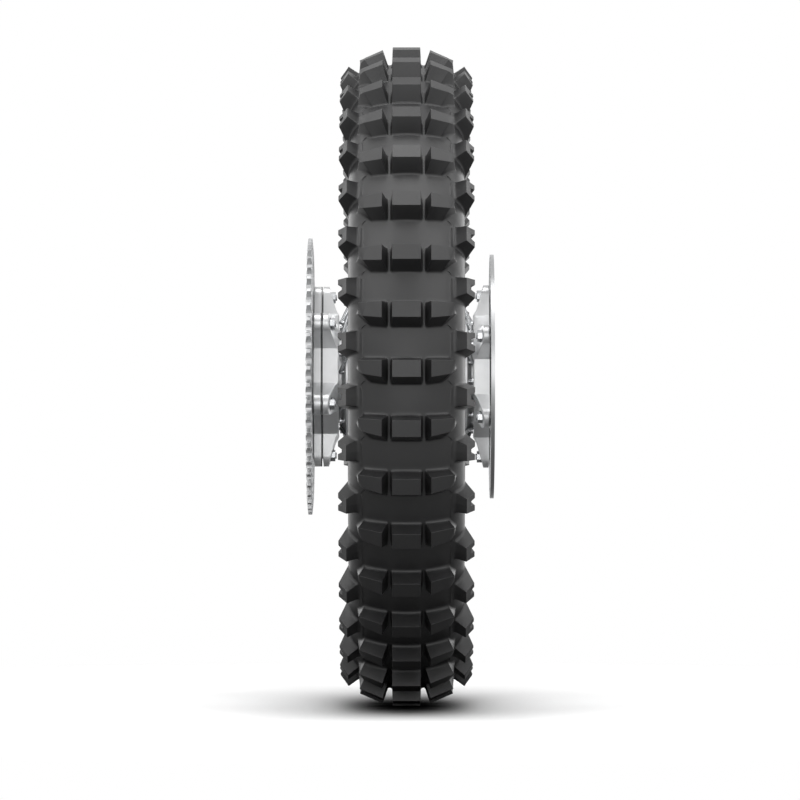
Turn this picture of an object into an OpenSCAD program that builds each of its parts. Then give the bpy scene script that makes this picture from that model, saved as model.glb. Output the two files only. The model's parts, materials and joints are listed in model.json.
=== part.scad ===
/* [Tyre] */
// Height of the tyre from the bead seats to the faces of the centre knobs
tyre_h = 95.4; // [89:0.2:103]
// Width of the bare carcass at its widest
carcass_w = 110; // [104:1:116]
// Radius of the carcass across the crown
crown_arc = 105; // [95:1:125]
// Thickness of the carcass under the tread
crown_t = 9; // [6:0.5:11]
// Thickness of the sidewall
sidewall_t = 5.5; // [3:0.5:7]
// Width of each bead on its seat
bead_w = 9.5; // [7:0.5:10]
/* [Tread] */
// Number of knob rows round the tyre
knob_rows = 36; // [30:1:38]
// Angle of the first knob row above the rearmost point
tread_phase = 1.3; // [0:0.1:10]
// Height of the centre knobs above the carcass
knob_h = 16.6; // [12:0.2:18]
// Length of a knob's face along the tread
knob_len = 15.8; // [12:0.2:18]
// Lean of a knob's leading wall, measured along the tread
lead_lean = 1.8; // [0.5:0.1:4]
// Lean of a knob's trailing wall, measured along the tread
trail_lean = 7; // [3:0.5:9]
// Width of a centre knob's face
centre_knob_w = 27; // [20:0.5:30]
// Distance from the centre plane to the inner edge of an intermediate knob's face
mid_knob_in = 23.3; // [21:0.1:26]
// Width of an intermediate knob's face
mid_knob_w = 22.8; // [18:0.2:25]
// Slope of an intermediate knob's face, in degrees
mid_knob_tilt = 23; // [15:1:28]
// Width over the side knobs
tyre_w = 130; // [124:1:136]
// Width of a side knob's face
side_knob_w = 13.8; // [10:0.2:16]
// Slope of a side knob's face, in degrees
side_knob_tilt = 55; // [45:1:65]
// Length of a side knob's face along the tread
side_knob_len = 18.3; // [14:0.1:20]
// Length of the notch in a side knob's outer edge
notch_len = 7; // [4:0.5:9]
// Depth of the notch in a side knob's outer edge
notch_depth = 4; // [2:0.5:6]
/* [Inner tube and valve] */
// Wall of the inner tube
tube_t = 3; // [2:0.5:4]
// Diameter of the valve stem
stem_d = 8; // [7:0.1:9]
// Distance the valve stem reaches below the rim
stem_reach = 33; // [28:1:38]
// Space between two nipples that holds the valve, counted round the rim from the first
valve_space = 26; // [0:1:31]
/* [Rim] */
// Diameter of the bead seats
seat_d = 457.2; // [450:0.1:462]
// Width between the flanges
rim_w = 54.6; // [52:0.1:58]
// Height of the flanges above the bead seats
flange_h = 14; // [12:0.5:15]
// Depth of the well below the bead seats
well_depth = 16.6; // [14:0.2:19]
// Width of the floor of the well
well_w = 28; // [26:0.5:30]
// Thickness of the rim under the well
rim_t = 5; // [4.5:0.1:7]
// Thickness of the rim tape
tape_t = 1; // [0.6:0.1:1.5]
/* [Spokes] */
// Number of spokes in the wheel
spoke_count = 36; // [32:4:36]
// Diameter of a spoke
spoke_d = 4; // [3:0.1:4.4]
// Number of spokes each spoke crosses
spoke_cross = 2; // [1:1:2]
// Angle of the first spoke hole in the hub
spoke_phase = 5; // [0:0.5:10]
// Radius of the circle of spoke holes in the hub
spoke_circle_r = 53; // [52:0.5:54]
// Distance of the nipple holes from the rim's centre plane
nipple_y = 7; // [5:0.5:8]
// Diameter of a nipple's body
nipple_d = 7; // [6.4:0.1:8]
// Diameter of a nipple's head
nipple_head_d = 9.2; // [8.6:0.1:10]
// Length of a nipple below its head
nipple_len = 17; // [14:0.5:20]
/* [Hub] */
// Distance from the centre plane to the hub face that carries the chain side
chain_face = 82.5; // [81:0.5:85]
// Distance from the centre plane to the hub face that carries the brake disc
disc_face = 81.8; // [80:0.5:84]
// Number of arms on each end of the hub
arm_count = 6; // [5:1:6]
// Radius of the bolt circle at the ends of the arms
bolt_circle_r = 79; // [76:0.5:82]
// Radius of the round tip of an arm
arm_tip_r = 10.8; // [9:0.2:12]
// Half width of an arm at its root
arm_root = 14.8; // [12:0.2:16]
// Distance from the axle to the flats between the arms
valley_r = 59; // [58:0.5:61]
// Thickness of an arm at its tip
arm_tip_t = 6.2; // [5:0.2:8]
// Angle of the first chain side arm above the rearmost point
chain_arm_phase = 40.5; // [0:0.5:60]
// Angle of the first disc side arm above the rearmost point
disc_arm_phase = 30; // [0:0.5:60]
// Radius of the spigots that centre the sprocket and the disc side
spigot_r = 50; // [48:0.5:51]
// Radius of the hub barrel at its waist
waist_r = 33; // [30:0.5:38]
// Distance from the centre plane to the inner faces of the spoke flanges
flange_y = 56; // [54:0.5:57]
/* [Sprocket] */
// Number of teeth
teeth = 52; // [48:1:53]
// Pitch of the chain
chain_pitch = 15.875; // [15.7:0.005:16]
// Diameter of the chain's rollers
roller_d = 10.16; // [9.5:0.01:10.4]
// Thickness of the sprocket
sprocket_t = 6; // [5:0.1:7]
// Thickness of the sprocket carrier
carrier_t = 8.7; // [7:0.1:10]
/* [Brake disc] */
// Diameter of the brake disc
disc_d = 240; // [232:1:248]
// Thickness of the brake disc
disc_t = 3.6; // [3.4:0.1:4.5]
// Width of the band that the pads rub
band_w = 31; // [29:0.5:34]
/* [Fasteners] */
// Diameter of the sprocket and disc bolts
bolt_d = 6; // [5:0.1:6.4]
// Width of a nut across its flats
nut_af = 10; // [9.6:0.1:11]
// Height of a nut
nut_h = 5; // [4:0.1:6]
/* [Bearings] */
// Diameter of the axle that passes through the wheel
axle_d = 25; // [24:0.1:25.4]
// Outside diameter of a wheel bearing
bearing_od = 47; // [46.6:0.1:48]
// Width of a wheel bearing
bearing_w = 12; // [11:0.1:12.4]
// Diameter of a bearing ball
ball_d = 6.35; // [6:0.05:6.8]
// Number of balls in a bearing
ball_count = 10; // [8:1:11]
// Width of a hub seal
seal_w = 6; // [5:0.1:7]
// Outside diameter of the collars that run in the hub seals
collar_od = 35; // [33:0.1:36]
/* [Clearances] */
// Gap between faces that seat on each other
seat_gap = 0.2; // [0.1:0.05:0.3]
// Gap round a piece that lies in a pocket or a bore
pocket_gap = 0.25; // [0.15:0.05:0.4]
// Gap round the balls and between turning and still pieces
run_gap = 0.1; // [0.06:0.01:0.15]
/* [Hidden] */
$fn = 96;
overlap = 1;

// Carcass: arcs across the crown, the upper sidewall and the lower sidewall
seat_r = seat_d / 2;
top_r = seat_r + tyre_h;
crown_r = top_r - knob_h;
crown_c = [0, crown_r - crown_arc];
half_w = carcass_w / 2;
rim_half = rim_w / 2;
flange_r = seat_r + flange_h;
lip_gap = 0.8;
widest_share = 0.38;
lower_r = (crown_r - flange_r) * widest_share;
wide_r = flange_r + lip_gap + lower_r;
lower_c = [half_w - lower_r, wide_r];
shoulder_y = half_w - 7;
shoulder_r = carcass_r(shoulder_y);
upper_c = [(half_w * half_w - shoulder_y * shoulder_y - pow(shoulder_r - wide_r, 2))
  / (2 * (half_w - shoulder_y)), wide_r];
upper_r = half_w - upper_c[0];
shoulder_angle = atan2(shoulder_r - wide_r, shoulder_y - upper_c[0]);
bead_out = rim_half - pocket_gap;
bead_in = bead_out - bead_w;
bead_r = seat_r + pocket_gap;
bead_top = flange_r - 1.6;
bead_heel = flange_r + 1;
cavity_crown_y = shoulder_y - 8;
cavity_shoulder = shoulder_angle * 0.6;
cavity_tuck = -105;

// Rim section
well_r = seat_r - well_depth;
well_half = well_w / 2;
rim_back_r = well_r - rim_t;
lip_y = rim_half + 10;
web_t = 4;
well_slope = 3.5;
flange_curve_r = 4;
flange_edge_r = 2;
flange_hook_r = 3;
flange_hook_h = 5;
rim_corner = 2;
nipple_proud = 1;
tape_r = well_r + nipple_proud + pocket_gap;
tape_half = well_half - 2;
tube_floor = tape_r + tape_t + pocket_gap;
tube_heel_r = seat_r + 1.5;

// Hub stations along the axle, outwards from the centre plane
spoke_flange_r = 58;
spoke_flange_edge = flange_y + 3.3;
spoke_flange_root = flange_y + 7.3;
neck_r = 46;
neck_depth = 13.5;
recess_r = 42;
recess_depth = 4;
boss_r = 31;
arm_root_depth = 12;
arm_bite = 3;
arm_slope = 0.284;
knee_r = 66;
web_r = valley_r + 0.8;
web_depth = 16.3;
sprocket_in = chain_face + carrier_t + 2 * seat_gap;
sprocket_out = sprocket_in + sprocket_t;
disc_in = disc_face + seat_gap;
disc_out = disc_in + disc_t;
chain_spigot = sprocket_out - 1;
disc_spigot = disc_out - 0.8;
chain_boss = sprocket_out - 2.4;
disc_boss = disc_out - 1.2;
collar_inset = 0.6;
chain_collar_end = sprocket_out - collar_inset;
disc_collar_end = disc_out - collar_inset;
tip_r = bolt_circle_r + arm_tip_r;
tip_wedge = 1.3;
tip_wedge_len = 12;
bore_r = 18;

// Bearing stations along the axle, from the open ends of the hub inwards
circlip_t = 1.5;
circlip_out = bearing_od / 2 + 1.3;
circlip_in = bearing_od / 2 - 2;
seal_inset = 1.2;
chain_seal_y = chain_boss - seal_inset - seal_w;
disc_seal_y = disc_boss - seal_inset - seal_w;
circlip_y = chain_seal_y - circlip_t - 4 * seat_gap;
bearing_b_y = circlip_y - bearing_w - seat_gap;
bearing_a_y = bearing_b_y - bearing_w - seat_gap;
disc_bearing_y = disc_seal_y - bearing_w - seat_gap;
axle_r = axle_d / 2;
bearing_r = bearing_od / 2;
ball_circle_r = (axle_r + bearing_r) / 2;
groove_r = ball_d / 2 + run_gap;
race_t = 3.5;
spacer_t = 3;

// Fasteners
hole_r = bolt_d / 2 + 0.15;
nut_corner_r = nut_af / 2 / cos(30);
spot_r = nut_corner_r + 0.6;
spot_depth = 8;
chain_nut_seat = arm_inner_y(chain_face, bolt_circle_r + spot_r);
disc_nut_seat = arm_inner_y(disc_face, bolt_circle_r + spot_r);
head_h = 3;
thread_proud = 1.5;
socket_depth = head_h * 0.7;
socket_r = bolt_d * 0.36;

// Sprocket teeth
pitch_r = chain_pitch / (2 * sin(180 / teeth));
tooth_tip_r = chain_pitch * (0.6 + 1 / tan(180 / teeth)) / 2;
roller_seat_r = roller_d / 2 + 0.1;

// Radius of the carcass under the tread at a distance y from the centre plane
function carcass_r(y) = crown_c[1] + sqrt(crown_arc * crown_arc - y * y);
// Distance of an arm's inner face from the centre plane at radius r
function arm_inner_y(face, r) = face - arm_tip_t - (tip_r - r) * arm_slope;
// Points along an arc from angle a to angle b
function arc(c, r, a, b, n = 5) =
  [for (i = [0:n]) c + r * [cos(a + (b - a) * i / n), sin(a + (b - a) * i / n)]];
// Point of the wheel at a radius, an angle above the rearmost point and a distance along the axle
function place(r, phi, y) = [-r * cos(phi), y, r * sin(phi)];
// A half section and its mirror image, as one closed run of points
function both_sides(half) =
  concat(half, [for (i = [len(half) - 1:-1:0]) [-half[i][0], half[i][1]]]);
// Half section of the space inside the carcass, drawn in by d
function cavity(d) = concat(
  arc(crown_c, crown_arc - crown_t - d, 90, acos((cavity_crown_y - d) / (crown_arc - crown_t - d))),
  arc(upper_c, upper_r - sidewall_t - d, cavity_shoulder, 0),
  arc(lower_c, lower_r - sidewall_t - d, 0, cavity_tuck),
  [[bead_in - d, bead_heel]]);

// Turns a shape drawn along Z so that it lies along the axle
module about_axle() {
  rotate([-90, 0, 0]) children();
}
// Turns a section drawn as (distance along the axle, radius) into a ring
module turned(points) {
  about_axle() rotate_extrude() polygon([for (p = points) [p[1], p[0]]]);
}
// A plain ring between two radii and two stations along the axle
module ring(r_in, r_out, y0, y1) {
  turned([[y0, r_in], [y1, r_in], [y1, r_out], [y0, r_out]]);
}
// Copies of a shape at equal angles round the axle
module around(n, phase) {
  for (k = [0:n - 1]) rotate([0, phase + k * 360 / n, 0]) children();
}
// A bar along the axle at radius r on the side that faces rearwards
module pin_at(r, y0, y1, pin_r) {
  translate([-r, y0, 0]) about_axle() cylinder(h = y1 - y0, r = pin_r);
}
// A round rod between two points
module rod(p, q, d) {
  v = q - p;
  translate(p) rotate([0, acos(v[2] / norm(v)), atan2(v[1], v[0])]) cylinder(h = norm(v), d = d);
}

// Section of the tread: a ridge for each ring of knobs, which the slots then part into knobs
half_pitch = 180 / knob_rows;
centre_half = centre_knob_w / 2;
centre_foot = centre_half + 0.9;
mid_in_r = top_r - 2.7;
mid_out = mid_knob_in + mid_knob_w;
mid_out_r = mid_in_r - mid_knob_w * tan(mid_knob_tilt);
mid_foot_in = mid_knob_in - 5.5;
mid_foot_out = shoulder_y - 1;
face_dir = [cos(side_knob_tilt), -sin(side_knob_tilt)];
side_face_out = [tyre_w / 2, shoulder_r - 2.2];
side_face_in = side_face_out - side_knob_w * face_dir;
side_foot_angle = shoulder_angle * 0.5;
side_floor_angle = shoulder_angle * 0.4;
side_groove_angle = shoulder_angle * 0.98;
floor_step = 0.15;
slot_reach = 6;
slot_top = top_r + slot_reach;
slot_bottom = shoulder_r - slot_reach;
slot_edge = tyre_w / 2 + slot_reach;
groove_y = (mid_foot_out + shoulder_y) / 2;
function tread_point(y) = [y, carcass_r(y)];
function upper_point(a) = upper_c + upper_r * [cos(a), sin(a)];

// Slot between a knob's trailing wall and the next knob's leading wall, seen along the axle;
// length and r are those of the knob's face, and the walls lean away from it
module slot(length, r, y0, y1) {
  function lean(radius, rate) = length / 2 + rate * (r - radius) / knob_h;
  function turned_back(p) = [p[0] * cos(2 * half_pitch) + p[1] * sin(2 * half_pitch),
    p[1] * cos(2 * half_pitch) - p[0] * sin(2 * half_pitch)];
  translate([0, y0, 0]) about_axle() linear_extrude(height = y1 - y0) polygon([
    for (p = [[slot_top, -lean(slot_top, trail_lean)], [slot_bottom, -lean(slot_bottom, trail_lean)],
      turned_back([slot_bottom, lean(slot_bottom, lead_lean)]),
      turned_back([slot_top, lean(slot_top, lead_lean)])]) [-p[0], -p[1]]]);
}
// Space above the crown of the carcass, where the slots of the centre and intermediate knobs lie
module crown_space() {
  span = acos(groove_y / crown_arc);
  turned(concat([[-groove_y, slot_top], [groove_y, slot_top]],
    arc(crown_c, crown_arc + floor_step, span, 180 - span, 10)));
}
// Space outside the shoulder of the carcass, where the slots of the side knobs lie
module shoulder_space() {
  floor = arc(upper_c, upper_r + floor_step, shoulder_angle, side_floor_angle);
  turned(concat([[groove_y, slot_top]], [[groove_y, floor[0][1]]], floor,
    [[slot_edge, floor[len(floor) - 1][1]], [slot_edge, slot_top]]));
}
// Notch in the outer edge of the side knob that faces rearwards
module notch() {
  translate([-side_face_out[1], side_face_out[0], 0]) rotate([90, 0, 90 - side_knob_tilt])
    linear_extrude(height = 4 * slot_reach, center = true)
      polygon([[-notch_depth, -notch_len / 3], [overlap, -notch_len / 2],
        [overlap, notch_len / 2], [-notch_depth, notch_len / 3]]);
}
module tyre() {
  inside = cavity(0);
  color("#2a2a2b") difference() {
    turned(concat(
      both_sides(concat([[bead_in, bead_r], [bead_out, bead_r], [bead_out, bead_top]],
        arc(lower_c, lower_r, -90, 0), arc(upper_c, upper_r, side_foot_angle / 3, side_foot_angle, 2),
        [side_face_out, side_face_in, upper_point(side_groove_angle), tread_point(mid_foot_out),
          [mid_out, mid_out_r], [mid_knob_in, mid_in_r], tread_point(mid_foot_in),
          tread_point(centre_foot), [centre_half, top_r]])),
      [for (i = [len(inside) - 1:-1:0]) [-inside[i][0], inside[i][1]]], inside));
    intersection() {
      crown_space();
      around(knob_rows, tread_phase) {
        slot(knob_len, top_r, -centre_foot - overlap, centre_foot + overlap);
        slot(knob_len, (mid_in_r + mid_out_r) / 2, mid_foot_in - overlap, groove_y + overlap);
        slot(knob_len, (mid_in_r + mid_out_r) / 2, -groove_y - overlap, -mid_foot_in + overlap);
      }
    }
    for (side = [0, 1]) mirror([0, side, 0]) intersection() {
      shoulder_space();
      around(knob_rows, tread_phase + half_pitch) {
        slot(side_knob_len, (side_face_in[1] + side_face_out[1]) / 2, groove_y - overlap, slot_edge);
        notch();
      }
    }
  }
}

module tube_section(d) {
  floor_d = d - pocket_gap;
  polygon([for (p = both_sides(concat(cavity(d), [[bead_in - d, tube_heel_r],
    [tape_half - d, tube_floor + floor_d]]))) [p[1], p[0]]]);
}
// Radial hole for the valve through the rim, the tape and the floor of the tube
module valve_way(r) {
  rotate([0, valve_angle, 0]) rotate([0, -90, 0]) cylinder(h = wide_r, r = r);
}
module inner_tube() {
  color("#1c1c1d") difference() {
    about_axle() rotate_extrude() difference() {
      tube_section(pocket_gap);
      tube_section(pocket_gap + tube_t);
    }
    valve_way(stem_d / 2 + pocket_gap);
  }
}
// Radial turned piece on the valve's axis between two radii from the axle
module on_valve(r0, r1, piece_r, sides = $fn) {
  rotate([0, valve_angle, 0]) rotate([0, -90, 0]) translate([0, 0, r0])
    cylinder(h = r1 - r0, r = piece_r, $fn = sides);
}
stem_end = rim_back_r - stem_reach;
valve_flange_r = tube_floor + tube_t + pocket_gap;
valve_flange_t = 1.5;
stem_bore = 1.4;
valve_nut_r = stem_d * 0.8;
cap_wall = 1.1;
cap_len = 13;
module valve_stem() {
  color("#c9a84f") difference() {
    union() {
      on_valve(stem_end, valve_flange_r + valve_flange_t, stem_d / 2);
      on_valve(valve_flange_r, valve_flange_r + valve_flange_t, stem_d);
    }
    on_valve(stem_end - overlap, valve_flange_r + valve_flange_t + overlap, stem_bore);
  }
}
module valve_nut() {
  top = rim_back_r - seat_gap;
  color("#c9c9cc") difference() {
    on_valve(top - nut_h, top, valve_nut_r, 6);
    on_valve(top - nut_h - overlap, top + overlap, stem_d / 2 + run_gap);
  }
}
module valve_cap() {
  bottom = stem_end - cap_wall - pocket_gap;
  color("#1a1a1a") difference() {
    on_valve(bottom, bottom + cap_len, stem_d / 2 + cap_wall);
    on_valve(stem_end - pocket_gap, bottom + cap_len + overlap, stem_d / 2 + run_gap);
  }
}
module rim_tape() {
  color("#3a3a3c") difference() {
    ring(tape_r, tape_r + tape_t, -tape_half, tape_half);
    valve_way(stem_d / 2 + pocket_gap);
  }
}

// Spokes: side is 1 on the chain side and -1 on the disc side; outer ones leave the flange outwards
side_count = spoke_count / 2;
hole_pitch = 360 / side_count;
valve_angle = spoke_phase + (valve_space + 0.5) * hole_pitch / 2;
elbow_gap = 0.35;
elbow_d = spoke_d + 0.3;
spoke_hole_r = spoke_d / 2 + 0.1;
spoke_head_r = spoke_d / 2 + 1.4;
spoke_head_t = 1.8;
spoke_head_gap = 1.4;
flange_face = spoke_flange_root - (spoke_circle_r - spigot_r)
  * (spoke_flange_root - spoke_flange_edge) / (spoke_flange_r - spigot_r);
outer_elbow = flange_face + spoke_d / 2 + elbow_gap;
inner_elbow = flange_y - spoke_d / 2 - elbow_gap;
function hub_phi(side, outer, i) =
  spoke_phase + (side > 0 ? 0 : hole_pitch / 2) + (2 * i + (outer ? 0 : 1)) * hole_pitch;
function rim_phi(side, outer, i) =
  hub_phi(side, outer, i) + (outer ? 1 : -1) * spoke_cross * hole_pitch;
function elbow_point(side, outer, i) =
  place(spoke_circle_r, hub_phi(side, outer, i), side * (outer ? outer_elbow : inner_elbow));
function rim_point(side, outer, i) = place(well_r - 1, rim_phi(side, outer, i), side * nipple_y);
function along(p, q, d) = p + (q - p) * d / norm(q - p);
spoke_end = 5;

module spoke(side, outer, i) {
  elbow = elbow_point(side, outer, i);
  hub_angle = hub_phi(side, outer, i);
  head_y = outer ? flange_y - seat_gap - spoke_head_t : flange_face + 2 * seat_gap + spoke_head_gap;
  rim_end = along(rim_point(side, outer, i), elbow, spoke_end);
  rod(place(spoke_circle_r, hub_angle, side * (head_y + spoke_head_t / 2)), elbow, spoke_d);
  rod(place(spoke_circle_r, hub_angle, side * head_y),
    place(spoke_circle_r, hub_angle, side * (head_y + spoke_head_t)), 2 * spoke_head_r);
  translate(elbow) sphere(d = elbow_d);
  rod(elbow, rim_end, spoke_d);
}
module spokes(side, outer) {
  color("#d4d5d8") for (i = [0:side_count / 2 - 1]) spoke(side, outer, i);
}
module chain_outer_spokes() { spokes(1, true); }
module chain_inner_spokes() { spokes(1, false); }
module disc_outer_spokes() { spokes(-1, true); }
module disc_inner_spokes() { spokes(-1, false); }

// Runs its children for every spoke of the wheel, with $rim and $elbow as its two ends
module each_spoke() {
  for (side = [1, -1], outer = [true, false], i = [0:side_count / 2 - 1]) {
    $rim = rim_point(side, outer, i);
    $elbow = elbow_point(side, outer, i);
    children();
  }
}
nipple_head_t = 2.4;
hole_reach = 6;
module spoke_nipples() {
  color("#c4c6ca") each_spoke() difference() {
    union() {
      rod($rim, along($rim, $elbow, nipple_head_t), nipple_head_d);
      rod($rim, along($rim, $elbow, nipple_head_t + nipple_len), nipple_d);
    }
    rod(along($rim, $elbow, spoke_end - overlap), along($rim, $elbow, nipple_len + 2 * nipple_head_t),
      2 * spoke_hole_r);
  }
}
module rim() {
  flange_c = [rim_half + flange_curve_r, flange_r - flange_curve_r];
  edge_c = [lip_y - flange_edge_r, flange_r - flange_edge_r];
  hook_c = [flange_c[0] + flange_hook_r, seat_r + flange_hook_h];
  nipple_hole_d = nipple_d + 2 * pocket_gap;
  head_hole_d = nipple_head_d + 2 * pocket_gap;
  color("#c8cacd") difference() {
    turned(both_sides(concat(
      [[well_half, well_r], [well_half + well_slope, seat_r], [rim_half, seat_r]],
      arc(flange_c, flange_curve_r, 180, 90, 6), arc(edge_c, flange_edge_r, 90, -90, 6),
      arc(hook_c, flange_hook_r, 90, 180, 4),
      [[flange_c[0], seat_r - rim_corner], [flange_c[0] - rim_corner, seat_r - web_t],
        [well_half + well_slope + web_t, seat_r - web_t], [well_half + web_t, rim_back_r + 1],
        [well_half + web_t - rim_corner, rim_back_r]])));
    each_spoke() {
      rod(along($rim, $elbow, -hole_reach), along($rim, $elbow, nipple_len), nipple_hole_d);
      rod(along($rim, $elbow, -hole_reach), along($rim, $elbow, nipple_head_t + pocket_gap), head_hole_d);
    }
    valve_way(stem_d / 2 + pocket_gap);
  }
}

// Outline of a hub end: flats between round tipped arms
module star(phase) {
  lean = atan2(arm_root - arm_tip_r, bolt_circle_r - valley_r);
  touch = [bolt_circle_r, 0] + arm_tip_r * [sin(lean), cos(lean)];
  arm_start = valley_r * 0.7;
  rotate(180 + phase) {
    circle(r = valley_r / cos(180 / arm_count), $fn = arm_count);
    for (k = [0:arm_count - 1]) rotate(k * 360 / arm_count) {
      polygon([[arm_start, -arm_root], [valley_r, -arm_root], [touch[0], -touch[1]], touch,
        [valley_r, arm_root], [arm_start, arm_root]]);
      translate([bolt_circle_r, 0]) circle(r = arm_tip_r);
    }
  }
}
// Half of a hub, out to its outer face, with the arms that carry the bolted part
module hub_half(face, boss, spigot_end, phase) {
  barrel_curve = [[6, 5], [16, 1], [30, 0]];
  turned(concat([[-overlap, bore_r], [boss, bore_r], [boss, boss_r], [face - recess_depth, boss_r],
    [face - recess_depth, recess_r], [spigot_end, recess_r], [spigot_end, spigot_r], [face, spigot_r],
    [face - arm_root_depth, spigot_r], [face - neck_depth, neck_r], [spoke_flange_root, neck_r],
    [spoke_flange_root, spigot_r], [spoke_flange_edge, spoke_flange_r],
    [flange_y, spoke_flange_r], [flange_y, neck_r]],
    [for (p = barrel_curve) [flange_y - p[0], waist_r + p[1]]], [[-overlap, waist_r]]));
  intersection() {
    about_axle() linear_extrude(height = face + overlap) star(phase);
    turned([[face, spigot_r - arm_bite], [face, tip_r - tip_wedge_len],
      [face - tip_wedge, tip_r + overlap], [arm_inner_y(face, tip_r + overlap), tip_r + overlap],
      [arm_inner_y(face, knee_r), knee_r], [face - web_depth, web_r],
      [face - neck_depth, spigot_r], [face - arm_root_depth, spigot_r - arm_bite]]);
  }
}
module hub() {
  color("#b9bbbe") difference() {
    union() {
      hub_half(chain_face, chain_boss, chain_spigot, chain_arm_phase);
      mirror([0, 1, 0]) hub_half(disc_face, disc_boss, disc_spigot, disc_arm_phase);
    }
    ring(0, bearing_r + run_gap, bearing_a_y - seat_gap, chain_boss + overlap);
    ring(0, bearing_r + run_gap, -disc_boss - overlap, -disc_bearing_y + seat_gap);
    ring(bearing_r - overlap, circlip_out + pocket_gap,
      circlip_y - seat_gap, circlip_y + circlip_t + seat_gap);
    for (outer = [true, false], i = [0:side_count / 2 - 1]) {
      rotate([0, hub_phi(1, outer, i), 0])
        pin_at(spoke_circle_r, flange_y - overlap, spoke_flange_root + overlap, spoke_hole_r);
      rotate([0, hub_phi(-1, outer, i), 0])
        pin_at(spoke_circle_r, -spoke_flange_root - overlap, -flange_y + overlap, spoke_hole_r);
    }
    around(arm_count, chain_arm_phase) {
      pin_at(bolt_circle_r, chain_nut_seat - overlap, chain_face + overlap, hole_r);
      pin_at(bolt_circle_r, chain_nut_seat - spot_depth, chain_nut_seat, spot_r);
    }
    around(arm_count, disc_arm_phase) {
      pin_at(bolt_circle_r, -disc_face - overlap, -disc_nut_seat + overlap, hole_r);
      pin_at(bolt_circle_r, -disc_nut_seat, -disc_nut_seat + spot_depth, spot_r);
    }
  }
}
module sprocket_carrier() {
  y0 = chain_face + seat_gap;
  y1 = y0 + carrier_t;
  color("#c3c5c8") difference() {
    intersection() {
      about_axle() translate([0, 0, y0]) linear_extrude(height = carrier_t) star(chain_arm_phase);
      turned([[y0, spigot_r], [y1, spigot_r], [y1, tip_r - tip_wedge_len],
        [y1 - tip_wedge, tip_r + overlap], [y0, tip_r + overlap]]);
    }
    ring(0, spigot_r + seat_gap, y0 - overlap, y1 + overlap);
    around(arm_count, chain_arm_phase) pin_at(bolt_circle_r, y0 - overlap, y1 + overlap, hole_r);
  }
}

// One gap of the sprocket's outline: the roller seat, then the tip of the next tooth
seat_half_angle = 62;
tooth_tip_angle = 0.21 * 180 / teeth;
function polar(r, a) = r * [cos(a), sin(a)];
function tooth_gap(a) = concat(
  [for (b = [seat_half_angle:-seat_half_angle / 2:-seat_half_angle])
    polar(pitch_r, a) + polar(roller_seat_r, a + 180 + b)],
  [for (side = [-1, 1]) polar(tooth_tip_r, a + 180 / teeth + side * tooth_tip_angle)]);
window_r = 11;
window_circle_r = 106;
module sprocket() {
  tip_half = 1.7;
  mid = (sprocket_in + sprocket_out) / 2;
  shoulder = pitch_r - roller_d / 2 - 1;
  color("#c0c2c5") difference() {
    intersection() {
      about_axle() translate([0, 0, sprocket_in]) linear_extrude(height = sprocket_t)
        polygon([for (k = [0:teeth - 1]) each tooth_gap(k * 360 / teeth)]);
      turned([[sprocket_in, spigot_r], [sprocket_out, spigot_r], [sprocket_out, shoulder],
        [mid + tip_half, tooth_tip_r + overlap], [mid - tip_half, tooth_tip_r + overlap],
        [sprocket_in, shoulder]]);
    }
    ring(0, spigot_r + seat_gap, sprocket_in - overlap, sprocket_out + overlap);
    around(arm_count * 2, chain_arm_phase)
      pin_at(window_circle_r, sprocket_in - overlap, sprocket_out + overlap, window_r);
    around(arm_count, chain_arm_phase) {
      pin_at(bolt_circle_r, sprocket_in - overlap, sprocket_out + overlap, hole_r);
      countersink(sprocket_out, pocket_gap);
    }
  }
}
// Cone of a flat bolt head whose top lies at station y
module countersink(y, gap) {
  translate([-bolt_circle_r, y, 0]) about_axle() translate([0, 0, -head_h]) rotate_extrude()
    polygon([[0, 0], [bolt_d / 2 + gap, 0], [bolt_d + gap, head_h], [0, head_h]]);
}
// A flat headed bolt whose head lies at station y and whose thread ends at y_end
module flat_bolt(y, y_end) {
  difference() {
    union() {
      countersink(y, 0);
      pin_at(bolt_circle_r, y_end, y - head_h + seat_gap, bolt_d / 2);
    }
    translate([-bolt_circle_r, y - socket_depth, 0]) about_axle()
      cylinder(h = head_h, r = socket_r, $fn = 6);
  }
}
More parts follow.
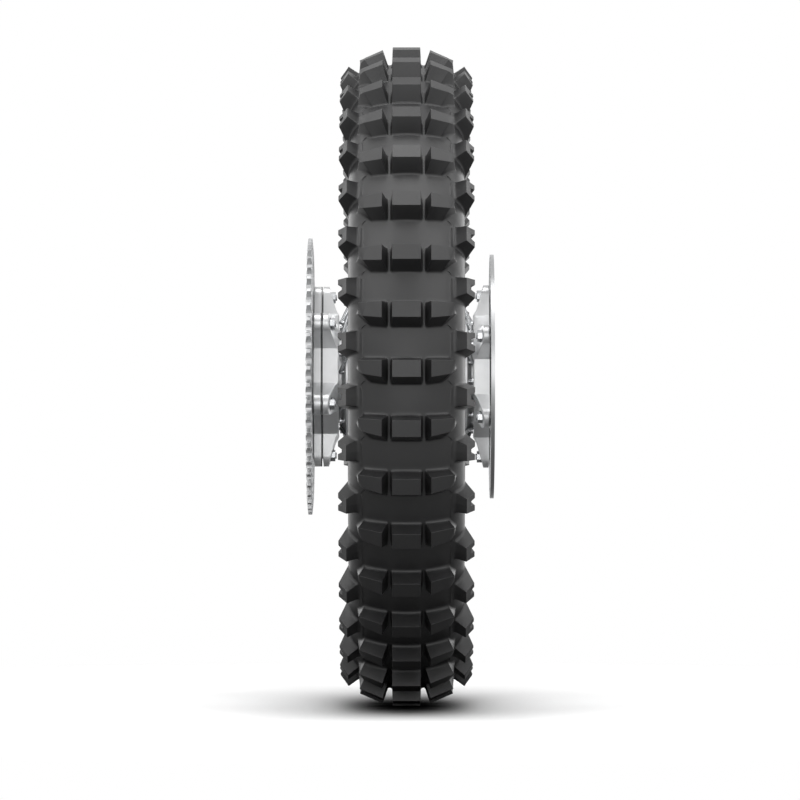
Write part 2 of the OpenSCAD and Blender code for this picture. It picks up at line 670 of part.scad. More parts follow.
// A hexagon nut between two stations on the bolt circle
module hex_nut(y0, y1) {
  difference() {
    translate([-bolt_circle_r, y0, 0]) about_axle() cylinder(h = y1 - y0, r = nut_corner_r, $fn = 6);
    pin_at(bolt_circle_r, y0 - overlap, y1 + overlap, bolt_d / 2 + run_gap);
  }
}
module sprocket_bolts() {
  color("#a6a8ab") around(arm_count, chain_arm_phase)
    flat_bolt(sprocket_out - seat_gap, chain_nut_seat - nut_h - thread_proud);
}
module sprocket_nuts() {
  color("#cfd0d2") around(arm_count, chain_arm_phase)
    hex_nut(chain_nut_seat - nut_h - seat_gap, chain_nut_seat - seat_gap);
}
vent_r = 3;
vent_rows = 3;
module brake_disc() {
  band_in = disc_d / 2 - band_w;
  lug_r = arm_tip_r;
  lug_bite = 3;
  vent_step = 5;
  color("#bfc1c4") mirror([0, 1, 0]) difference() {
    about_axle() translate([0, 0, disc_in]) linear_extrude(height = disc_t) {
      difference() {
        circle(d = disc_d);
        circle(r = band_in);
      }
      for (k = [0:arm_count - 1]) rotate(180 + disc_arm_phase + k * 360 / arm_count) {
        translate([bolt_circle_r, 0]) circle(r = lug_r);
        translate([bolt_circle_r, -lug_r]) square([band_in + lug_bite - bolt_circle_r, 2 * lug_r]);
      }
    }
    around(arm_count, disc_arm_phase) {
      pin_at(bolt_circle_r, disc_in - overlap, disc_out + overlap, hole_r);
      countersink(disc_out, pocket_gap);
    }
    for (row = [0:vent_rows - 1]) around(3 * arm_count, disc_arm_phase + row * vent_step)
      pin_at(band_in + band_w * (row + 1) / (vent_rows + 1), disc_in - overlap, disc_out + overlap, vent_r);
  }
}
module disc_bolts() {
  color("#a6a8ab") mirror([0, 1, 0]) around(arm_count, disc_arm_phase)
    flat_bolt(disc_out - seat_gap, disc_nut_seat - nut_h - thread_proud);
}
module disc_nuts() {
  color("#cfd0d2") mirror([0, 1, 0]) around(arm_count, disc_arm_phase)
    hex_nut(disc_nut_seat - nut_h - seat_gap, disc_nut_seat - seat_gap);
}

// Bearing pieces, each given by the station of the bearing's lower face
module ball_groove(y) {
  about_axle() translate([0, 0, y + bearing_w / 2]) rotate_extrude()
    translate([ball_circle_r, 0]) circle(r = groove_r);
}
module outer_race(y) {
  color("#c6c8ca") difference() {
    ring(bearing_r - race_t, bearing_r, y, y + bearing_w);
    ball_groove(y);
  }
}
module inner_race(y) {
  color("#cacccd") difference() {
    ring(axle_r, axle_r + race_t, y, y + bearing_w);
    ball_groove(y);
  }
}
module balls(y) {
  color("#dedfe0") around(ball_count, 0)
    translate([-ball_circle_r, y + bearing_w / 2, 0]) sphere(d = ball_d);
}
cage_t = 1.6;
cage_w = 9;
module cage(y) {
  mid = y + bearing_w / 2;
  color("#b58a4a") difference() {
    ring(ball_circle_r - cage_t / 2, ball_circle_r + cage_t / 2, mid - cage_w / 2, mid + cage_w / 2);
    around(ball_count, 0) translate([-ball_circle_r - ball_d, mid, 0]) rotate([0, 90, 0])
      cylinder(h = 2 * ball_d, r = groove_r);
  }
}
shield_t = 0.6;
shield_inset = 0.3;
module shields(y) {
  r_in = axle_r + race_t + 3 * run_gap;
  r_out = bearing_r - race_t - run_gap;
  color("#27292b") for (y0 = [y + shield_inset, y + bearing_w - shield_inset - shield_t])
    ring(r_in, r_out, y0, y0 + shield_t);
}
module chain_outer_race_a() { outer_race(bearing_a_y); }
module chain_inner_race_a() { inner_race(bearing_a_y); }
module chain_balls_a() { balls(bearing_a_y); }
module chain_cage_a() { cage(bearing_a_y); }
module chain_shields_a() { shields(bearing_a_y); }
module chain_outer_race_b() { outer_race(bearing_b_y); }
module chain_inner_race_b() { inner_race(bearing_b_y); }
module chain_balls_b() { balls(bearing_b_y); }
module chain_cage_b() { cage(bearing_b_y); }
module chain_shields_b() { shields(bearing_b_y); }
module disc_outer_race() { outer_race(-disc_bearing_y - bearing_w); }
module disc_inner_race() { inner_race(-disc_bearing_y - bearing_w); }
module disc_balls() { balls(-disc_bearing_y - bearing_w); }
module disc_cage() { cage(-disc_bearing_y - bearing_w); }
module disc_shields() { shields(-disc_bearing_y - bearing_w); }

circlip_gap_w = 8;
module bearing_circlip() {
  color("#55585b") difference() {
    ring(circlip_in, circlip_out, circlip_y, circlip_y + circlip_t);
    translate([-circlip_gap_w / 2, circlip_y - overlap, -circlip_out - overlap])
      cube([circlip_gap_w, circlip_t + 2 * overlap, circlip_out]);
  }
}
// A hub seal with a lip that runs on the collar
module hub_seal(y) {
  lip = collar_od / 2 + 1.5 * run_gap;
  lip_y0 = y + seal_w * 0.42;
  lip_y1 = y + seal_w * 0.58;
  wall = 1.5;
  relief = 2;
  color("#202122") turned([[y, lip + relief], [y + wall, lip + relief], [lip_y0, lip], [lip_y1, lip],
    [y + seal_w - wall, lip + relief / 2], [y + seal_w, lip + relief / 2],
    [y + seal_w, bearing_r], [y, bearing_r]]);
}
module chain_seal() { hub_seal(chain_seal_y); }
module disc_seal() { mirror([0, 1, 0]) hub_seal(disc_seal_y); }
// A collar from the bearing's inner race to the outside of the wheel
module collar(y0, y1) {
  edge = 0.8;
  nose = 2;
  color("#c9cbce") turned([[y0, axle_r], [y1, axle_r], [y1, collar_od / 2 - edge],
    [y1 - edge, collar_od / 2], [y0 + nose + edge, collar_od / 2], [y0 + nose, axle_r + race_t],
    [y0, axle_r + race_t]]);
}
module chain_collar() { collar(bearing_b_y + bearing_w + seat_gap, chain_collar_end); }
module disc_collar() {
  mirror([0, 1, 0]) collar(disc_bearing_y + bearing_w + seat_gap, disc_collar_end);
}
module spacer_tube() {
  color("#aeb0b3") ring(axle_r, axle_r + spacer_t, -disc_bearing_y + seat_gap, bearing_a_y - seat_gap);
}

tyre();
inner_tube();
valve_stem();
valve_nut();
valve_cap();
rim_tape();
rim();
chain_outer_spokes();
chain_inner_spokes();
disc_outer_spokes();
disc_inner_spokes();
spoke_nipples();
hub();
sprocket_carrier();
sprocket();
sprocket_bolts();
sprocket_nuts();
brake_disc();
disc_bolts();
disc_nuts();
chain_outer_race_a();
chain_inner_race_a();
chain_balls_a();
chain_cage_a();
chain_shields_a();
chain_outer_race_b();
chain_inner_race_b();
chain_balls_b();
chain_cage_b();
chain_shields_b();
disc_outer_race();
disc_inner_race();
disc_balls();
disc_cage();
disc_shields();
bearing_circlip();
chain_seal();
disc_seal();
chain_collar();
disc_collar();
spacer_tube();
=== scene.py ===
import json
import math
import bmesh
import bpy
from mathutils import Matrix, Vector
from mathutils.geometry import delaunay_2d_cdt


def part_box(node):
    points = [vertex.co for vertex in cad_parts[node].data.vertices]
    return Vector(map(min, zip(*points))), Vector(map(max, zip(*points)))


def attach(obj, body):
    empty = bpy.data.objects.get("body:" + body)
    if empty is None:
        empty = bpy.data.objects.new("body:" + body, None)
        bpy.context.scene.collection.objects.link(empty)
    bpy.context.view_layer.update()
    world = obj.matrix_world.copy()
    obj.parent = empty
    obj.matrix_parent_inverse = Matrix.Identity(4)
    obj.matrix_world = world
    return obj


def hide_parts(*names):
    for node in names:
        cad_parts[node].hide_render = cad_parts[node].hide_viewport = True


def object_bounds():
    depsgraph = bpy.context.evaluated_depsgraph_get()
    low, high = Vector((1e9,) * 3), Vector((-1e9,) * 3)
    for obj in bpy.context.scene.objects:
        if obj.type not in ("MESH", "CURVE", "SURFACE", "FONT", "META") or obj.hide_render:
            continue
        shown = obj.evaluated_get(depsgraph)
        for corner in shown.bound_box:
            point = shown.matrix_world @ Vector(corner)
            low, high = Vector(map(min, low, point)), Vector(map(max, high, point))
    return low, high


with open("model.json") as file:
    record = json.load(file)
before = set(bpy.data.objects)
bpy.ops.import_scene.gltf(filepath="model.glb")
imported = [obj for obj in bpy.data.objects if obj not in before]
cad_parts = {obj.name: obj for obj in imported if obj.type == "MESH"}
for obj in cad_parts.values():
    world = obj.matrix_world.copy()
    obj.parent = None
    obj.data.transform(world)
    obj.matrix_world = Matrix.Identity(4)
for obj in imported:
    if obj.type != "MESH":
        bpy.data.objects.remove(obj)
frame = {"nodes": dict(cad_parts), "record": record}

cadBox = [list(corner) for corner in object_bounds()]
scene = bpy.context.scene
mm = 0.001
print("frame loaded:", len(frame["nodes"]), "nodes")


# Shader helpers
def newMaterial(name):
    material = bpy.data.materials.new(name)
    material.use_nodes = True
    tree = material.node_tree
    return material, tree, tree.nodes["Principled BSDF"]


def addNode(tree, kind, **values):
    node = tree.nodes.new(kind)
    for key, value in values.items():
        setattr(node, key, value)
    return node


def setInputs(node, **values):
    for key, value in values.items():
        node.inputs[key].default_value = value


def newGroup(name, inputs, outputs, outputKind="NodeSocketFloat"):
    tree = bpy.data.node_groups.new(name, "ShaderNodeTree")
    for label, value in inputs.items():
        socket = tree.interface.new_socket(label, in_out="INPUT", socket_type="NodeSocketFloat")
        socket.default_value = value
    for label in outputs:
        tree.interface.new_socket(label, in_out="OUTPUT", socket_type=outputKind)
    return tree, tree.nodes.new("NodeGroupInput"), tree.nodes.new("NodeGroupOutput")


def mathNode(tree, operation, first, second=None):
    node = addNode(tree, "ShaderNodeMath", operation=operation)
    for slot, value in enumerate((first, second)):
        if value is None:
            continue
        if isinstance(value, (int, float)):
            node.inputs[slot].default_value = value
        else:
            tree.links.new(value, node.inputs[slot])
    return node.outputs[0]


def mapRange(tree, value, source, target, kind="LINEAR"):
    node = addNode(tree, "ShaderNodeMapRange", interpolation_type=kind)
    (fromMin, fromMax), (toMin, toMax) = source, target
    setInputs(node, **{"From Min": fromMin, "From Max": fromMax, "To Min": toMin, "To Max": toMax})
    tree.links.new(value, node.inputs["Value"])
    return node.outputs["Result"]


# X, Y and Z of a texture coordinate
def coordParts(tree, kind):
    coords = addNode(tree, "ShaderNodeTexCoord")
    parts = addNode(tree, "ShaderNodeSeparateXYZ")
    tree.links.new(coords.outputs[kind], parts.inputs[0])
    return parts.outputs


def rootOfSquares(tree, first, second):
    squares = [mathNode(tree, "POWER", value, 2.0) for value in (first, second)]
    return mathNode(tree, "SQRT", mathNode(tree, "ADD", *squares))


# A colour is a plain one, or the output of a node
def mixColours(tree, factor, first, second):
    node = addNode(tree, "ShaderNodeMix", data_type="RGBA")
    for label, colour in (("A", first), ("B", second)):
        if isinstance(colour, tuple):
            node.inputs[label].default_value = (*colour, 1.0)
        else:
            tree.links.new(colour, node.inputs[label])
    tree.links.new(factor, node.inputs["Factor"])
    return node.outputs["Result"]


# Fine cast or moulded grain: a broad cloud for colour, a fine speckle for height
def makeGrainGroup():
    tree, groupIn, groupOut = newGroup("surfaceGrain", {"Fine Scale": 900.0, "Cloud Scale": 30.0},
                                       ["Cloud", "Speckle"])
    coords = addNode(tree, "ShaderNodeTexCoord")
    fine = addNode(tree, "ShaderNodeTexNoise")
    cloud = addNode(tree, "ShaderNodeTexNoise")
    setInputs(fine, Detail=3.0, Roughness=0.6)
    setInputs(cloud, Detail=4.0, Roughness=0.55)
    tree.links.new(groupIn.outputs["Fine Scale"], fine.inputs["Scale"])
    tree.links.new(groupIn.outputs["Cloud Scale"], cloud.inputs["Scale"])
    for noise, label in ((fine, "Speckle"), (cloud, "Cloud")):
        tree.links.new(coords.outputs["Object"], noise.inputs["Vector"])
        tree.links.new(noise.outputs["Fac"], groupOut.inputs[label])
    return tree


# Marks that a lathe or a pad leaves in rings round the axle
def makeRingsGroup():
    tree, groupIn, groupOut = newGroup("turnedRings", {"Rings": 900.0}, ["Ring", "Streak"])
    parts = coordParts(tree, "Object")
    radius = rootOfSquares(tree, parts["X"], parts["Z"])
    place = mathNode(tree, "MULTIPLY", radius, groupIn.outputs["Rings"])
    for label, scale, detail in (("Ring", 1.0, 2.0), ("Streak", 0.08, 0.0)):
        noise = addNode(tree, "ShaderNodeTexNoise", noise_dimensions="1D")
        setInputs(noise, Scale=scale, Detail=detail)
        tree.links.new(place, noise.inputs["W"])
        tree.links.new(noise.outputs["Fac"], groupOut.inputs[label])
    return tree


# Worn edges, which catch the light like small rounds
def makeEdgeGroup():
    tree, groupIn, groupOut = newGroup("wornEdges", {"Radius": 1.0 * mm}, ["Normal"], "NodeSocketVector")
    rounded = addNode(tree, "ShaderNodeBevel", samples=6)
    tree.links.new(groupIn.outputs["Radius"], rounded.inputs["Radius"])
    tree.links.new(rounded.outputs["Normal"], groupOut.inputs["Normal"])
    return tree


grainGroup = makeGrainGroup()
ringsGroup = makeRingsGroup()
edgeGroup = makeEdgeGroup()


def placeGroup(tree, group, **values):
    node = addNode(tree, "ShaderNodeGroup", node_tree=group)
    setInputs(node, **values)
    return node


noiseRange = (0.3, 0.7)     # where most values of a noise lie


# Stretches a noise to run from low to high
def spread(tree, value, low, high):
    return mapRange(tree, value, noiseRange, (low, high))


def addBump(tree, shader, height, distance, strength, edge=0.0):
    bump = addNode(tree, "ShaderNodeBump")
    setInputs(bump, Distance=distance, Strength=strength)
    tree.links.new(height, bump.inputs["Height"])
    if edge > 0.0:
        worn = placeGroup(tree, edgeGroup, Radius=edge)
        tree.links.new(worn.outputs["Normal"], bump.inputs["Normal"])
    tree.links.new(bump.outputs["Normal"], shader.inputs["Normal"])


rubber = {
    "cloudScale": 22.0,
    "roughSpread": 0.06,    # roughness varies by this either way
    "bumpStrength": 0.5,
}


def rubberMaterial(name, dark, light, rough, fineScale, gloss, bump):
    material, tree, shader = newMaterial(name)
    grain = placeGroup(tree, grainGroup, **{"Fine Scale": fineScale, "Cloud Scale": rubber["cloudScale"]})
    factor = spread(tree, grain.outputs["Cloud"], 0.0, 1.0)
    tree.links.new(mixColours(tree, factor, dark, light), shader.inputs["Base Color"])
    smoothest, roughest = rough - rubber["roughSpread"], rough + rubber["roughSpread"]
    tree.links.new(spread(tree, grain.outputs["Speckle"], smoothest, roughest), shader.inputs["Roughness"])
    shader.inputs["Specular IOR Level"].default_value = gloss
    addBump(tree, shader, grain.outputs["Speckle"], bump, rubber["bumpStrength"])
    return material


# Painted shade: a dark line painted into the colour where two of the pieces on the hub meet, standing in for
# the shadow in the gap between them
jointShade = {
    "colour": (0.02, 0.02, 0.02),
    "reach": 0.9 * mm,      # half the width of a line
    "fade": (0.7, 1.3),     # shares of the reach between which it fades out
    "wall": 0.5,            # a face whose normal has more than this along the axle stays unpainted
}


# Mask of the painted shade at the joints: faces are the joints' places along the axle
def paintedJointShade(tree, faces):
    along = coordParts(tree, "Object")["Y"]
    offsets = [mathNode(tree, "SUBTRACT", along, face) for face in faces]
    gaps = [mathNode(tree, "ABSOLUTE", offset) for offset in offsets]
    nearest = gaps[0]
    for gap in gaps[1:]:
        nearest = mathNode(tree, "MINIMUM", nearest, gap)
    line = mapRange(tree, nearest, [jointShade["reach"] * share for share in jointShade["fade"]], (1.0, 0.0))
    facing = mathNode(tree, "ABSOLUTE", coordParts(tree, "Normal")["Y"])
    return mathNode(tree, "MULTIPLY", line, mathNode(tree, "LESS_THAN", facing, jointShade["wall"]))


metal = {
    "cloudScale": 40.0,
    "roughSpread": 0.07,
    "bumpStrength": 0.35,
}


def metalMaterial(name, dark, light, rough, fineScale, rings=0.0, bump=0.04 * mm, edge=0.0, joints=(),
                  metallic=1.0):
    material, tree, shader = newMaterial(name)
    grain = placeGroup(tree, grainGroup, **{"Fine Scale": fineScale, "Cloud Scale": metal["cloudScale"]})
    shade = grain.outputs["Cloud"]
    height = grain.outputs["Speckle"]
    if rings > 0.0:
        turned = placeGroup(tree, ringsGroup, Rings=rings)
        shade = mathNode(tree, "MULTIPLY", mathNode(tree, "ADD", shade, turned.outputs["Streak"]), 0.5)
        height = turned.outputs["Ring"]
    colour = mixColours(tree, spread(tree, shade, 0.0, 1.0), dark, light)
    if joints:
        # painted shade: the joint lines darken the colour where shade falls in the gaps between the pieces
        colour = mixColours(tree, paintedJointShade(tree, joints), colour, jointShade["colour"])
    tree.links.new(colour, shader.inputs["Base Color"])
    smoothest, roughest = rough - metal["roughSpread"], rough + metal["roughSpread"]
    tree.links.new(spread(tree, height, smoothest, roughest), shader.inputs["Roughness"])
    shader.inputs["Metallic"].default_value = metallic
    addBump(tree, shader, height, bump, metal["bumpStrength"], edge)
    return material


hubJoints = (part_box("sprocket_carrier")[0][1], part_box("sprocket")[0][1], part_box("brake_disc")[1][1])
finishes = {
    "tyre_rubber": rubberMaterial("tyreRubber", (0.014, 0.014, 0.0145), (0.020, 0.020, 0.0205),
                                  rough=0.44, fineScale=1500.0, gloss=0.5, bump=0.06 * mm),
    "tube_rubber": rubberMaterial("tubeRubber", (0.012, 0.012, 0.012), (0.020, 0.020, 0.020),
                                  rough=0.45, fineScale=900.0, gloss=0.4, bump=0.08 * mm),
    "tape_rubber": rubberMaterial("tapeRubber", (0.035, 0.035, 0.037), (0.055, 0.055, 0.058),
                                  rough=0.7, fineScale=1200.0, gloss=0.3, bump=0.1 * mm),
    "seal_rubber": rubberMaterial("sealRubber", (0.015, 0.015, 0.017), (0.028, 0.028, 0.030),
                                  rough=0.5, fineScale=1600.0, gloss=0.4, bump=0.06 * mm),
    "black_plastic": rubberMaterial("capPlastic", (0.015, 0.015, 0.015), (0.026, 0.026, 0.026),
                                    rough=0.4, fineScale=2200.0, gloss=0.5, bump=0.05 * mm),
    # silver paint on cast alloy
    "hub_alloy": metalMaterial("castAlloy", (0.68, 0.685, 0.69), (0.78, 0.785, 0.79),
                               rough=0.36, fineScale=1400.0, edge=1.2 * mm, joints=hubJoints, metallic=0.75),
    "rim_alloy": metalMaterial("satinAlloy", (0.42, 0.425, 0.43), (0.50, 0.505, 0.51),
                               rough=0.32, fineScale=1100.0, rings=1600.0, bump=0.02 * mm),
    "sprocket_metal": metalMaterial("machinedAlloy", (0.42, 0.425, 0.43), (0.50, 0.505, 0.51),
                                    rough=0.44, fineScale=900.0, rings=1500.0, edge=0.6 * mm),
    "disc_steel": metalMaterial("groundSteel", (0.38, 0.385, 0.39), (0.47, 0.475, 0.48),
                                rough=0.32, fineScale=900.0, rings=2200.0),
    "bright_steel": metalMaterial("brightSteel", (0.44, 0.45, 0.46), (0.54, 0.55, 0.56),
                                  rough=0.22, fineScale=800.0, bump=0.02 * mm),
    "bolt_steel": metalMaterial("zincSteel", (0.30, 0.305, 0.315), (0.40, 0.405, 0.415),
                                rough=0.36, fineScale=1300.0, edge=0.5 * mm),
    "bearing_steel": metalMaterial("bearingSteel", (0.70, 0.71, 0.72), (0.82, 0.83, 0.84),
                                   rough=0.14, fineScale=600.0, bump=0.01 * mm),
    "spring_steel": metalMaterial("springSteel", (0.26, 0.27, 0.29), (0.38, 0.39, 0.41),
                                  rough=0.34, fineScale=1000.0),
    "collar_alloy": metalMaterial("turnedAlloy", (0.46, 0.465, 0.47), (0.56, 0.565, 0.57),
                                  rough=0.30, fineScale=900.0, rings=1800.0),
    "brass": metalMaterial("turnedBrass", (0.60, 0.44, 0.18), (0.76, 0.58, 0.27),
                           rough=0.28, fineScale=900.0),
    "cage_brass": metalMaterial("pressedBrass", (0.56, 0.41, 0.18), (0.72, 0.55, 0.27),
                                rough=0.34, fineScale=1100.0),
}
slotOf = {part["node"]: part["material_slot"] for part in frame["record"]["subparts"]}
bodyOf = {node: body for body, nodes in frame["record"]["behaviour"]["bodies"].items() for node in nodes}
for nodeName, nodeObject in frame["nodes"].items():
    nodeObject.data.materials.clear()
    nodeObject.data.materials.append(finishes[slotOf[nodeName]])
print("finishes made:", len(finishes))


# Tyre: one pitch of tread, carcass and sidewall, in millimetres, repeated round the axle
tyre = {
    "rows": 36,             # knob rows round the tyre
    "phase": 1.31,          # degrees of the first row above the rearmost point
    "treadR": 323.9,        # radius of a centre knob's face
    "crownR": 307.4,        # radius of the bare crown
    "crownArc": 105.0,      # radius across the crown
    "archStart": 38.0,      # lateral place where the crown turns into the shoulder
    "halfWidth": 55.0,      # bare carcass
    "wideR": 268.0,         # radius of the widest line
    "lowerR": 24.6,         # lower sidewall arc
    "bead": (17.6, 27.0, 228.9, 239.6),     # lateral places of its two sides, radii of its foot and top
    "beadCuts": (1.0, 0.8, 4.0),        # cuts at its heel and its toe, rise of its inner side above the top
    "wall": 5.5,            # thickness of the sidewall
    "underTread": 9.0,      # thickness below the crown
    "wallArc": (-56.0, -90.0),          # plain sidewall below the ribs, in degrees from the widest line
    "innerArc": (-100.0, 0.0),          # its inside
    "ribs": (-4.0, -22.0, -40.0),       # where each fine rib begins
    "ribShape": ((0.0, 0.0), (1.4, 0.55), (4.2, 0.55), (5.6, 0.0)),     # degrees along its section, height
    "steps": 10,            # sidewall divisions in one pitch
    "gridStep": 4.4,        # carcass mesh spacing
    "gridReach": 40,        # mesh points tried each way from the centre
    "gridRow": 0.9,         # spacing of the mesh rows, as a share of it
    "gridClear": (0.45, 0.4),   # least distance from the mesh border and from a knob's foot, as shares of it
    "seam": (40.5, -10.2),  # where the joint between two pitches steps sideways, in the mesh plan
    "edge": 0.3,            # round at the rim of a knob's face
    "faceCorner": 0.35,     # rounds at the corners of a knob's face and foot
    "footCorner": 0.9,
    "footRise": 1.2,        # how much further the round at a foot goes up the wall than out from it
    "sharp": 50.0,          # degrees from which an edge shades sharp
    "ledge": 0.9,           # height of the shoulder above the crown panel between two rows
    "ledgeWidth": 0.9,
    "ledgeFade": (46.0, 52.0),          # lateral places between which it runs out
    "ledgeSteps": (7.0, 1.7, 24),       # mesh points along it: first distance below the row, spacing, number
    "ledgeClear": (0.5, 0.7),           # least distance of those from the mesh border and from a knob's foot
    # edge of the crown panel: (distance below the row, lateral place)
    "panelEdge": [(6.5, 32.5), (10.2, 37.1), (12.2, 40.4), (14.8, 42.5), (17.0, 42.9), (20.0, 41.9),
                  (28.0, 41.6), (60.0, 41.6)],
}
pitchAngle = math.tau / tyre["rows"]
angleScale = 310.0          # carcass angle times this gives the mesh plan's v, in millimetres
pitch = pitchAngle * angleScale
crownCentre = tyre["crownR"] - tyre["crownArc"]
archTilt = math.asin(tyre["archStart"] / tyre["crownArc"])
archR = (tyre["halfWidth"] - tyre["archStart"]) / (1.0 - math.sin(archTilt))
archCentre = Vector((tyre["archStart"] - archR * math.sin(archTilt),
                     crownCentre + (tyre["crownArc"] - archR) * math.cos(archTilt)))
archU = tyre["crownArc"] * archTilt
wideU = archU + archR * (math.pi / 2 - archTilt)        # where the shoulder turns into the sidewall
edgeU = wideU + archCentre.y - tyre["wideR"]            # where the tread mesh ends


# Point of the bare carcass at distance u from the centre line, measured along the surface
def carcassAt(u):
    side = 1.0 if u >= 0.0 else -1.0
    if abs(u) <= archU:
        tilt = abs(u) / tyre["crownArc"]
        return side * tyre["crownArc"] * math.sin(tilt), crownCentre + tyre["crownArc"] * math.cos(tilt)
    if abs(u) <= wideU:
        tilt = archTilt + (abs(u) - archU) / archR
        return side * (archCentre.x + archR * math.sin(tilt)), archCentre.y + archR * math.cos(tilt)
    return side * tyre["halfWidth"], archCentre.y - (abs(u) - wideU)


# Past the half width, y counts on in millimetres down the sidewall
def surfaceU(y):
    if y <= tyre["archStart"]:
        return tyre["crownArc"] * math.asin(y / tyre["crownArc"])
    if y < tyre["halfWidth"]:
        return archU + archR * (math.asin((y - archCentre.x) / archR) - archTilt)
    return wideU + y - tyre["halfWidth"]


def onWheel(y, r, angle):
    return Vector((-r * math.cos(angle), y, r * math.sin(angle)))


def smoothStep(value):
    share = max(0.0, min(1.0, value))
    return share * share * (3.0 - 2.0 * share)


# Lateral place of the crown panel's edge at a distance below the row
def panelEdgeAt(below):
    edge = tyre["panelEdge"]
    for (t0, y0), (t1, y1) in zip(edge, edge[1:]):
        if below <= t1:
            return y0 + (y1 - y0) * (below - t0) / (t1 - t0)
    return edge[-1][1]


# Height of the shoulder above the bare section, which is nothing inside the crown panel
def ledgeAt(y, v):
    start, end = tyre["ledgeFade"]
    out = (abs(y) - panelEdgeAt(-v % pitch)) / tyre["ledgeWidth"] + 0.5
    return tyre["ledge"] * smoothStep(out) * smoothStep((end - abs(y)) / (end - start))


def onCarcass(u, angle):
    y, r = carcassAt(u)
    return onWheel(y, r + ledgeAt(y, angle * angleScale), angle)


# Loop through corners, each one cut off by a small round, with extra points along the sides
def roundedLoop(corners, cut, sideSteps):
    loop = []
    count = len(corners)
    for i, corner in enumerate(corners):
        before, after = corners[i - 1], corners[(i + 1) % count]
        first = corner + (before - corner).normalized() * cut
        last = corner + (after - corner).normalized() * cut
        nextFirst = after + (corner - after).normalized() * cut
        loop += [first, first * 0.25 + corner * 0.5 + last * 0.25, last]
        loop += [last.lerp(nextFirst, k / sideSteps[i]) for k in range(1, sideSteps[i])]
    return loop


# Unit vectors square to a plan loop, pointing away from its inside
def outwardNormals(loop):
    area = sum(a.x * b.y - b.x * a.y for a, b in zip(loop, loop[1:] + loop[:1]))
    turn = 1.0 if area > 0.0 else -1.0
    normals = []
    for i, point in enumerate(loop):
        along = (loop[(i + 1) % len(loop)] - point).normalized() + (point - loop[i - 1]).normalized()
        normals.append(Vector((along.y, -along.x)).normalized() * turn)
    return normals


def insideLoop(point, loop):
    inside = False
    for a, b in zip(loop, loop[1:] + loop[:1]):
        if (a.y > point.y) != (b.y > point.y):
            if point.x < a.x + (b.x - a.x) * (point.y - a.y) / (b.y - a.y):
                inside = not inside
    return inside


def clearOfLoop(point, loop, gap):
    for a, b in zip(loop, loop[1:] + loop[:1]):
        along = b - a
        share = max(0.0, min(1.0, (point - a).dot(along) / along.length_squared))
        if (point - a - along * share).length < gap:
            return False
    return True


def outsideLoop(point, loop, gap):
    return not insideLoop(point, loop) and clearOfLoop(point, loop, gap)


def bezier(a, b, c, t):
    return a * (1 - t) ** 2 + b * 2 * t * (1 - t) + c * t ** 2


# Knobs: corners of the face (lateral, radius, along), corners of the foot (lateral, along), mesh steps on
# each side, ridges across the face from corner to corner, round at the foot all round and on the leading side
def centreKnob():
    r = tyre["treadR"]
    face = [(-13.5, r, 7.9), (-13.5, r, -7.9), (13.5, r, -7.9), (13.5, r, 7.9)]
    foot = [(-14.2, 9.4), (-14.2, -14.2), (14.2, -14.2), (14.2, 9.4)]
    return face, foot, [4, 6, 4, 6], [], (1.6, 3.0)


def midKnob():
    innerY, innerR, slope = 23.3, 321.2, math.tan(math.radians(23.0))

    def top(y, drop=0.0):
        return innerR - (y - innerY) * slope - drop

    face = [(23.2, top(23.2), 8.2), (23.3, top(23.3), -7.9), (41.4, top(41.4), -4.6),
            (45.2, top(45.2, 2.4), -1.6), (45.8, top(45.8), 8.2)]
    foot = [(18.0, 9.6), (18.1, -14.2), (32.4, -12.6), (47.0, 1.0), (39.5, 9.8)]
    return face, foot, [4, 5, 4, 3, 6], [(2, 4)], (1.6, 3.0)


def sideKnob():
    faceIn, faceOut = Vector((56.6, 304.6)), Vector((64.6, 293.6))
    notchDepth = 0.45       # share of the face that the notch cuts in from its outer side
    notch = faceOut.lerp(faceIn, notchDepth)
    face = [(*faceIn, 7.8), (*faceIn, 0.0), (*faceIn, -7.7), (*faceOut, -9.3), (*faceOut, -3.7),
            (*notch, -2.3), (*notch, 2.3), (*faceOut, 3.8), (*faceOut, 9.0)]
    foot = [(45.6, 10.6), (45.0, 0.2), (45.6, -9.7), (59.0, -13.2), (58.8, -4.2),
            (57.0, -2.6), (57.0, 2.6), (58.8, 4.3), (59.0, 11.8)]
    return face, foot, [3, 3, 4, 2, 2, 2, 2, 2, 4], [], (2.4, 2.4)


